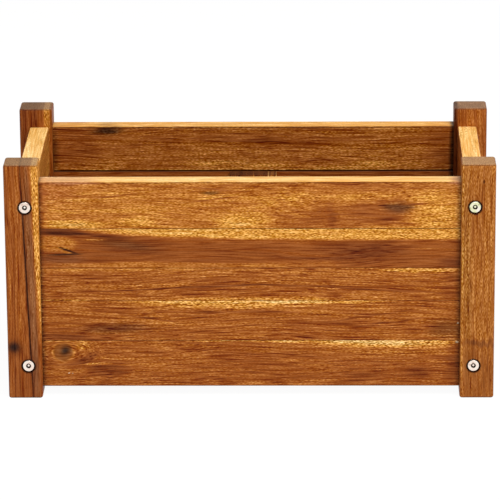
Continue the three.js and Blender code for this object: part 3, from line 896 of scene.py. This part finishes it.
# %% Battens, ledgers and floor slats
OILED_END_GRAIN = ("#1E0F06", "#543010")  # their ends weren't sanded, and soaked up more oil
streaked_batten = dict(base=0.28, end_grain=("#1E0C06", "#704420"), patches=[
    Patch(0, -19, 300, 0.6, tone=0.14, crisp=True),
    Patch(0, -13, 300, 2.0, tone=-0.15, crisp=True),
    Patch(0, -7, 300, 0.6, tone=0.14, crisp=True),
    Patch(0, 0.3, 300, 0.7, tone=0.26, crisp=True),
    Patch(0, 8, 300, 3.0, tone=0.1, crisp=True),
    Patch(0, 16.4, 300, 0.7, tone=0.6, crisp=True),
    Patch(0, 20.5, 300, 2.0, tone=0.3, crisp=True),
    Patch(0, 24.8, 300, 0.7, tone=0.5, crisp=True),
])
for name in sorted(nodes):
    grain = "z" if name.endswith("batten") else "x" if name.endswith("ledger") else "y"
    if name.endswith(("batten", "ledger")) or name.startswith("floor_slat"):
        seed += 1
        look = dict(base=TONES_IN_TURN[seed % len(TONES_IN_TURN)], end_grain=OILED_END_GRAIN)
        if name == "back_wall_batten":
            look = streaked_batten
        dress(nodes[name], oiled_acacia(f"oiled_acacia_{name}", middle_of(name), grain, seed,
                                        **look))
print("last seed used for a wooden piece:", seed)

# %% [markdown]
# ## Surfaces from rings of points
#
# Posts, bolts and screws are all a stack of rings: a closed outline that changes a little from
# ring to ring. A post's ring is a rounded rectangle, a bolt's a circle that turns into a hexagon
# where it goes down into the socket, and a screw's a circle that turns into a cross. They could
# be cut out of cylinders and cubes, but that leaves seams to clean up. Here one function makes
# the skin through the rings and closes both ends, so each shape is a short list of rings.

# %% Skin through rings
SHARP_ABOVE = 35.0  # degrees between two faces


def skin(name, stacks, recess=None):
    """A closed mesh object. Each stack is an array (rings, points, 3): every ring is joined to
    the next by four-sided faces, and the first and last ring are filled. Recess, if given, is a
    number for each ring of a stack, and is kept as an attribute of the points."""
    points, faces = [], []
    for rings in stacks:
        count, around = rings.shape[:2]
        start = sum(len(block) for block in points)
        corner = start + np.arange(count * around).reshape(count, around)
        turned = np.roll(corner, -1, axis=1)
        quads = np.stack([corner[:-1], turned[:-1], turned[1:], corner[1:]], axis=-1)
        faces += quads.reshape(-1, 4).tolist()
        faces += [corner[0, ::-1].tolist(), corner[-1].tolist()]
        points.append(rings.reshape(-1, 3))
    mesh = bpy.data.meshes.new(name)
    mesh.from_pydata(np.concatenate(points), [], faces)
    mesh.shade_smooth()
    mesh.set_sharp_from_angle(angle=math.radians(SHARP_ABOVE))
    if recess is not None:
        values = np.tile(np.repeat(recess, stacks[0].shape[1]), len(stacks))
        mesh.attributes.new("recess", "FLOAT", "POINT").data.foreach_set("value", values)
    piece = bpy.data.objects.new(name, mesh)
    scene.collection.objects.link(piece)
    return piece


def turned_rings(profile, sides, outline=None):
    """Rings about +Z from a profile of (radius, height, share): the radius at each angle is
    radius * (1 - share + share * outline(angle)), so share 0 is a circle and 1 the outline."""
    angle = np.arange(sides) * 2 * np.pi / sides
    radius, height, share = np.array(profile, float).T[..., None]
    shape = outline(angle) if outline else np.ones(sides)
    reach = radius * (1 - share + share * shape)
    return np.stack([reach * np.cos(angle), reach * np.sin(angle), height + 0 * reach], axis=-1)


def placed(rings, place, outward):
    """Rings in millimetres about +Z, moved to place in metres with +Z turned outward."""
    turn = np.array(Vector(outward).to_track_quat("Z", "Y").to_matrix())
    return MM * rings @ turn.T + np.array(place)


# %% [markdown]
# ## Corner posts
#
# A post is a 35 x 32 mm bar of acacia whose long edges were rounded and whose ends were eased on
# a sander. Each has a stopped groove for the wall's tenons and two counterbored holes for the
# bolts. The CAD posts have only a few facets on each rounding, which would show as stripes of
# light, and a Bevel modifier on them would round the holes and the groove too, which are sharp.
# So each post is made again with finer roundings. The groove and the holes are cut with the Boolean
# modifier, and normals weighted by area keep the flat faces flat in the light. Round each hole a
# dark ring is painted on the wood as the shade at the counterbore's edge, placed from the bolt.

# %% Post with rounded edges
POST_EDGE_RADIUS = 3.0
POST_END_RADIUS = 2.2
ROUNDING_STEPS = 6


def post_rings(size):
    """Rings of an upright bar of size (x, y, z) in millimetres, centred on its axis, from z = 0
    up. A ring's point is a corner's centre plus reach times the outline's normal, and over the
    rounded ends reach shrinks as a quarter circle: r - e + e * cos(t) at height e - e * sin(t)."""
    quarter = np.linspace(0, np.pi / 2, ROUNDING_STEPS + 1)
    angle = (np.arange(4)[:, None] * np.pi / 2 + quarter).ravel()
    normal = np.stack([np.cos(angle), np.sin(angle)], axis=-1)
    side = np.repeat([(1, 1), (-1, 1), (-1, -1), (1, -1)], ROUNDING_STEPS + 1, axis=0)
    corner = side * (np.array(size[:2]) / 2 - POST_EDGE_RADIUS)
    reach = POST_EDGE_RADIUS - POST_END_RADIUS * (1 - np.cos(quarter[::-1]))
    rise = POST_END_RADIUS * (1 - np.sin(quarter[::-1]))
    reach = np.concatenate([reach, reach[::-1]])
    height = np.concatenate([rise, size[2] - rise[::-1]])
    flat = corner + reach[:, None, None] * normal
    return np.concatenate([flat, np.broadcast_to(height[:, None, None], (*flat.shape[:2], 1))],
                          axis=-1)


# %% Holes and grooves of a post
HOLE_SIDES = 48
BOLT_HOLE_RADIUS = 3.3
COUNTERBORE_RADIUS = 7.1
COUNTERBORE_DEPTH = 3.2
OVERRUN = 2.0  # how far a cutter runs past the face that it opens
TENON_GROOVE = (8.5, 8.4)  # depth and width
TENON_HAUNCH = 4.8


def hole_rings(depth):
    """Rings of a bolt hole's cutter about +Z, with the post's outer face at height 0."""
    profile = [(BOLT_HOLE_RADIUS, -depth - OVERRUN, 0), (BOLT_HOLE_RADIUS, -COUNTERBORE_DEPTH, 0),
               (COUNTERBORE_RADIUS, -COUNTERBORE_DEPTH, 0), (COUNTERBORE_RADIUS, OVERRUN, 0)]
    return turned_rings(profile, HOLE_SIDES)


def block_rings(lowest, highest):
    """Two rings, the bottom and the top of a block."""
    (x0, y0, z0), (x1, y1, z1) = lowest, highest
    outline = [(x0, y0), (x1, y0), (x1, y1), (x0, y1)]
    return np.array([[(x, y, z) for x, y in outline] for z in (z0, z1)])


def groove_rings(name, wall):
    """The cutter for the tenons of a long wall, from the wall's own top and bottom boards."""
    side = 1 if name.endswith("right") else -1
    lowest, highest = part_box(name)
    inner = lowest.x if side > 0 else highest.x
    across = sum(point.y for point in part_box(f"{wall}_board_1")) / 2
    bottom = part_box(f"{wall}_board_5")[0].z + TENON_HAUNCH * MM
    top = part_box(f"{wall}_board_1")[1].z - TENON_HAUNCH * MM
    ends = sorted([inner - side * OVERRUN * MM, inner + side * TENON_GROOVE[0] * MM])
    half = TENON_GROOVE[1] / 2 * MM
    return block_rings((ends[0], across - half, bottom), (ends[1], across + half, top))


def make_post(name, wood, hole_shade_wood):
    """One post: its rounded bar, cut, and with normals that keep flat faces flat. The cut faces
    take the second material, a near-black wood that paints the shade inside the holes and the
    groove."""
    _, face, side = name.split("_")
    lowest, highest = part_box(name)
    size = tuple((highest - lowest) / MM)
    foot = ((lowest.x + highest.x) / 2, (lowest.y + highest.y) / 2, lowest.z)
    post = skin(f"rounded_{name}", [MM * post_rings(size) + np.array(foot)])
    outward = (0, -1, 0) if face == "front" else (0, 1, 0)
    outer = lowest.y if face == "front" else highest.y
    cutters = [groove_rings(name, f"{face}_wall")]
    for level in ("upper", "lower"):
        bolt = middle_of(f"bolt_{face}_{side}_{level}")
        cutters.append(placed(hole_rings(size[1]), (bolt[0], outer, bolt[2]), outward))
    tool = skin("cutter", cutters)
    dress(post, wood)
    dress(tool, hole_shade_wood)
    cut = post.modifiers.new("holes", "BOOLEAN")
    cut.operation = "DIFFERENCE"
    cut.solver = "EXACT"
    cut.material_mode = "TRANSFER"
    cut.object = tool
    whole = bpy.data.meshes.new_from_object(
        post.evaluated_get(bpy.context.evaluated_depsgraph_get()))
    post.modifiers.clear()
    post.data = whole
    whole.shade_smooth()
    whole.set_sharp_from_angle(angle=math.radians(SHARP_ABOVE))
    bpy.data.objects.remove(tool)
    post.modifiers.new("flat_faces", "WEIGHTED_NORMAL").keep_sharp = True
    return post


# %% The four posts
COUNTERBORE_SHADE_RADIUS = 7.8
HOLE_SHADE_END_GRAIN = ("#170A04", "#3A2010")
post_looks = {
    "post_front_left": dict(base=0.44, patches=[
        Patch(55, -10, 8, 8.5, colour="#663618", cover=0.6, soft=0.6, crisp=True),
        Patch(55.5, -11, 4.6, 5.2, colour="#221A1A", cover=0.85, soft=0.7, crisp=True),
        Patch(125, 3.7, 140, 1.9, tone=-0.16, turn=1.95, soft=0.7, crisp=True),
        Patch(125, 3.7, 136, 0.9, colour=DARK, cover=0.9, turn=1.95, crisp=True),
        Patch(125, 8.5, 140, 3.6, colour="#75523A", cover=0.5, turn=1.8),
        Patch(190, 16.5, 130, 5, tone=0.28, soft=0.25, turn=1.4, crisp=True),
        Patch(22, 0, 34, 20, tone=-0.08, soft=0.6),
    ]),
    "post_front_right": dict(base=0.515, end_grain=("#5A4230", "#C29C70"), patches=[
        Patch(140, -11, 95, 4.2, colour="#7A5E30", cover=0.22, soft=0.8, turn=1),
        Patch(120, 0, 200, 30, colour="#8E6A34", cover=0.16),
        # a pale line on the post's left rounded edge: painted highlight
        Patch(125, -15.8, 150, 1.0, tone=0.16, crisp=True),
        Patch(232, 5, 2.0, 0.7, colour=DARK, cover=0.8, crisp=True),
        Patch(59.5, 3, 3.2, 17, tone=-0.2, soft=0.6, turn=-8),
        Patch(25, 0, 30, 22, tone=-0.07),
    ]),
    "post_back_left": dict(base=0.42, end_grain=("#403024", "#A28564"), patches=[
        Patch(235, -7, 80, 10, tone=-0.11, soft=0.3),
        Patch(235, 11.4, 80, 3.2, tone=0.17, soft=0.4, crisp=True),
        Patch(245, 11.4, 16, 3.0, tone=0.09, soft=0.6),
    ]),
    "post_back_right": dict(base=0.47, end_grain=("#42332A", "#A88A6C"), patches=[
        # a dark strip at the post's left edge: painted shade beside the back wall
        Patch(235, -15.5, 80, 2.4, tone=-0.3),
    ]),
}
# Near-black wood for the faces that the holes and the groove cut: painted shade inside these
# recesses
hole_shade_wood = oiled_acacia("drilled_acacia", (0, 0, 0), "x", seed, base=0.02, rings=0.05, lines=0.1,
                       end_grain=HOLE_SHADE_END_GRAIN)
for name, look in post_looks.items():
    seed += 1
    middle = middle_of(name)
    # a dark ring round each counterbore: painted shade at the hole's edge
    for level in ("upper", "lower"):
        bolt = middle_of(name.replace("post", "bolt") + f"_{level}")
        look["patches"].append(Patch(bolt[2] / MM, (bolt[0] - middle[0]) / MM, COUNTERBORE_SHADE_RADIUS,
                                     COUNTERBORE_SHADE_RADIUS, colour=DARK, cover=0.75, soft=0.1, crisp=True))
    wood = oiled_acacia(f"oiled_acacia_{name}", (*middle[:2], 0), "z", seed, **look)
    post = make_post(name, wood, hole_shade_wood)
    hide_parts(name)
    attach(post, "root")
    print(post.name, "faces", len(post.data.polygons))

# %% [markdown]
# ## Bolts
#
# The bolts are furniture connector bolts of steel, plated with zinc and passivated yellow: a
# wide flat head with a rounded rim and a 4 mm hexagon socket. The thin passivated layer gives
# tints that differ from bolt to bolt, rose on the left ones and yellow-green on the upper right
# one. The socket's mouth is bevelled and its floor is a shallow cone, which catches the light as
# a bright spot. A cylinder with a hexagon cut out would need all of that added, so the bolt is
# one profile instead, from its tip to the middle of the cone.

# %% Bolt shape
BOLT_SIDES = 48
HEAD_RADIUS = 6.0
HEAD_HEIGHT = 2.4
RIM_ROUNDING = 0.7
HEAD_CHAMFER = 0.3  # under the head
SHANK_RADIUS = 3.0
TIP_CHAMFER = 0.8
SOCKET_CORNER = 4.0 / math.sqrt(3)  # from 4 mm across the flats


def hexagon(angle):
    """Outline of a hexagon with corners at radius 1: cos(30) / cos(angle from the middle of the
    nearest flat)."""
    from_flat = np.mod(angle, np.pi / 3) - np.pi / 6
    return math.cos(math.pi / 6) / np.cos(from_flat)


def bolt_profile(length):
    """A bolt's profile (radius, height, share of the hexagon, painted shade), with the top of its
    head at height 0. It goes from the tip up the shank, round the head's rim as a quarter circle,
    over a slight dish, down the socket's walls and in along its cone. The painted shade darkens the
    socket's walls as the shade inside it."""
    rim = np.linspace(0, np.pi / 2, 7)
    profile = [(SHANK_RADIUS - TIP_CHAMFER, -length, 0, 0),
               (SHANK_RADIUS, -length + TIP_CHAMFER, 0, 0), (SHANK_RADIUS, -HEAD_HEIGHT, 0, 0),
               (HEAD_RADIUS - HEAD_CHAMFER, -HEAD_HEIGHT, 0, 0),
               (HEAD_RADIUS, -HEAD_HEIGHT + HEAD_CHAMFER, 0, 0)]
    profile += [(HEAD_RADIUS - RIM_ROUNDING * (1 - math.cos(t)),
                 -RIM_ROUNDING * (1 - math.sin(t)), 0, 0) for t in rim]
    profile += [(4.2, -0.02, 0, 0), (2.75, -0.05, 0, 0), (2.6, -0.1, 0.2, 0.7),
                (SOCKET_CORNER + 0.1, -0.35, 0.8, 1), (SOCKET_CORNER, -0.5, 1, 1),
                (SOCKET_CORNER, -1.5, 1, 1), (1.6, -1.62, 0.5, 1), (1.15, -1.7, 0, 1),
                (1.0, -1.72, 0, 0), (0.2, -1.85, 0, 0)]
    return np.array(profile)


# %% [markdown]
# Zinc plate is a metal, so its colour is in the reflection. The tint changes over a few
# millimetres, as the passivated layer's thickness does, and fine marks roughen the sheen.

# %% Zinc plate
ROSE_ZINC = "#F8DDCD"
GREEN_ZINC = "#E2E8AC"
PALE_ZINC = "#FBF2E6"
HANDLED_ZINC = "#A38A79"  # where the plate was gripped or has rubbed
# painted shade on the walls of sockets and cross recesses
SOCKET_SHADE_COLOUR = "#2A1C14"
TINT_SIZE = 5 * MM
TINT_NOISE = (0.35, 0.65)
RUBBED_NOISE = (0.36, 0.42)
RUBBED_COVER = 0.6
MARK_SIZE = 0.6 * MM
MARK_NOISE = (0.3, 0.7)
MARK_ROUGHNESS = (-0.08, 0.1)  # added to the plate's own
MARK_DEPTH = 0.03 * MM
MARK_STRENGTH = 0.4


def zinc_plate(name, tint, roughness=0.3):
    """Passivated zinc: tint and pale zinc in clouds of about 5 mm, with fine marks. Walls of
    sockets and of the screws' cross recesses, where the attribute recess is 1, are painted dark as
    the shade inside them."""
    material = bpy.data.materials.new(name)
    material.use_nodes = True
    tree = material.node_tree
    tree.nodes.clear()
    place = add(tree, "TexCoord")
    clouds = add(tree, "TexNoise", {"Vector": place.outputs["Object"], "Scale": 1 / TINT_SIZE,
                                    "Detail": 2.0})
    share = add(tree, "MapRange", {"Value": clouds.outputs["Fac"], "From Min": TINT_NOISE[0],
                                   "From Max": TINT_NOISE[1]})
    blend = add(tree, "Mix", {0: share.outputs[0], 6: linear(tint), 7: linear(PALE_ZINC)},
                data_type="RGBA")
    rubbed = add(tree, "MapRange", {
        "Value": clouds.outputs["Fac"], "From Min": RUBBED_NOISE[0], "From Max": RUBBED_NOISE[1],
        "To Min": RUBBED_COVER, "To Max": 0.0,
    })
    blend = add(tree, "Mix", {0: rubbed.outputs[0], 6: blend.outputs[2], 7: linear(HANDLED_ZINC)},
                data_type="RGBA")
    marks = add(tree, "TexNoise", {"Vector": place.outputs["Object"], "Scale": 1 / MARK_SIZE,
                                   "Detail": 2.0})
    rough = add(tree, "MapRange", {
        "Value": marks.outputs["Fac"], "From Min": MARK_NOISE[0], "From Max": MARK_NOISE[1],
        "To Min": roughness + MARK_ROUGHNESS[0], "To Max": roughness + MARK_ROUGHNESS[1],
    })
    relief = add(tree, "Bump", {"Height": marks.outputs["Fac"], "Distance": MARK_DEPTH,
                                "Strength": MARK_STRENGTH})
    recess = add(tree, "Attribute", attribute_name="recess")
    socket_shade = add(tree, "Mix", {0: recess.outputs["Fac"], 6: blend.outputs[2],
                               7: linear(SOCKET_SHADE_COLOUR)}, data_type="RGBA")
    metal = add(tree, "BsdfPrincipled", {
        "Base Color": socket_shade.outputs[2], "Metallic": 1.0, "Roughness": rough.outputs[0],
        "Normal": relief.outputs[0],
    })
    add(tree, "OutputMaterial", {"Surface": metal.outputs[0]})
    return material


rose = zinc_plate("zinc_plate_rose", ROSE_ZINC)
green = zinc_plate("zinc_plate_yellow_green", GREEN_ZINC)

# %% The eight bolts and their inserts
for name in sorted(nodes):
    if name.startswith("insert"):
        dress(nodes[name], green)
    if not name.startswith("bolt"):
        continue
    lowest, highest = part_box(name)
    front = "front" in name
    top = Vector(middle_of(name))
    top.y = lowest.y if front else highest.y
    profile = bolt_profile((highest.y - lowest.y) / MM)
    rings = turned_rings(profile[:, :3], BOLT_SIDES, hexagon)
    bolt = skin(name.replace("bolt", "connector_bolt"),
                [placed(rings, top, (0, -1 if front else 1, 0))], recess=profile[:, 3])
    dress(bolt, green if "right_upper" in name else rose)
    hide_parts(name)
    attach(bolt, "root")
print("bolt faces", len(bolt.data.polygons))

# %% [markdown]
# ## Wood screws
#
# The battens, the ledgers and the slats are screwed on with countersunk wood screws. Their heads
# stand a little proud with a cross recess in a gentle dome. They are too small for the CAD model,
# so they are added here, a set to each piece of wood that they hold. The recess could be a dark
# cross painted on the head, but a real one also looks right from the side. Its walls are painted
# dark as well, as the shade inside it.

# %% Screw shape
SCREW_SIDES = 32
SCREW_LENGTH = 22.0
SCREW_POINT = 5.0
SCREW_CORE_RADIUS = 1.6
CROSS_ARM = 0.34  # half width of the cross's arms, as a share of its radius


def cross(angle):
    """Outline of a cross with arms to radius 1: the lesser of 1 and the arm's half width over
    the sine of the angle from the nearest arm."""
    from_arm = np.abs(np.mod(angle + np.pi / 4, np.pi / 2) - np.pi / 4)
    return np.minimum(1.0, CROSS_ARM / np.maximum(np.sin(from_arm), 1e-6))


# (radius, height, share of the cross), with the wood's surface at height 0. The share of the cross
# also sets the painted shade on the recess's walls.
SCREW_PROFILE = [(0.3, -SCREW_LENGTH, 0), (SCREW_CORE_RADIUS, -SCREW_LENGTH + SCREW_POINT, 0),
                 (SCREW_CORE_RADIUS, -2.7, 0), (3.9, -0.15, 0), (4.05, 0.0, 0), (4.0, 0.15, 0),
                 (3.4, 0.38, 0), (2.6, 0.55, 0),
                 (2.25, 0.5, 1), (1.9, 0.1, 1), (1.5, -0.9, 1), (0.5, -1.3, 0.5)]


# %% The screws' places
BATTEN_ZIGZAG = 12 * MM
SLAT_SCREW_OFFSET = 8 * MM
LEDGER_SCREWS = (-180, -60, 60, 180)  # millimetres from the middle


def batten_places(name):
    """A screw through the batten into each board below the top one, left and right in turn."""
    wall = name.removesuffix("_batten")
    lowest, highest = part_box(name)
    middle = (lowest + highest) / 2
    along_x = wall.endswith("wall")
    inwards = Vector((0, -np.sign(middle.y), 0)) if along_x else Vector((-np.sign(middle.x), 0, 0))
    across = Vector((1, 0, 0)) if along_x else Vector((0, 1, 0))
    face = middle + inwards * ((highest.y - lowest.y) if along_x else (highest.x - lowest.x)) / 2
    for number in range(2, 6):
        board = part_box(f"{wall}_board_{number}")
        level = (max(board[0].z, lowest.z) + min(board[1].z, highest.z)) / 2
        place = face + across * BATTEN_ZIGZAG * (-1) ** number
        yield (place.x, place.y, level), inwards


def ledger_places(name):
    """Four screws through a ledger into the bottom board."""
    lowest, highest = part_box(name)
    front = lowest.y < 0
    for along in LEDGER_SCREWS:
        yield ((along * MM, highest.y if front else lowest.y, (lowest.z + highest.z) / 2),
               Vector((0, 1 if front else -1, 0)))


def slat_places(names):
    """A screw through each end of every slat into the ledger under it."""
    for name in names:
        lowest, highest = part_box(name)
        across = (lowest.x + highest.x) / 2
        for ledger in ("front_ledger", "back_ledger"):
            yield ((across + SLAT_SCREW_OFFSET * np.sign(across), middle_of(ledger)[1], highest.z),
                   Vector((0, 0, 1)))


# %% All the screws
screw = turned_rings(SCREW_PROFILE, SCREW_SIDES, cross)
screw_sets = {f"{name}_screws": list(batten_places(name)) for name in sorted(nodes)
              if name.endswith("batten")}
screw_sets |= {f"{name}_screws": list(ledger_places(name)) for name in ("front_ledger",
                                                                        "back_ledger")}
slats = sorted(name for name in nodes if name.startswith("floor_slat"))
screw_sets["floor_screws"] = list(slat_places(slats))
for name, places in screw_sets.items():
    screws = skin(name, [placed(screw, place, outward) for place, outward in places],
                  recess=np.array(SCREW_PROFILE)[:, 2])
    dress(screws, green)
    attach(screws, "root")
    print(name, len(places))

# %% [markdown]
# ## Sizes
#
# The dressed planter has to fill the same box as the CAD model. Both boxes are printed.

# %% Sizes
lowest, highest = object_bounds()
print("dressed box", tuple(lowest), tuple(highest))
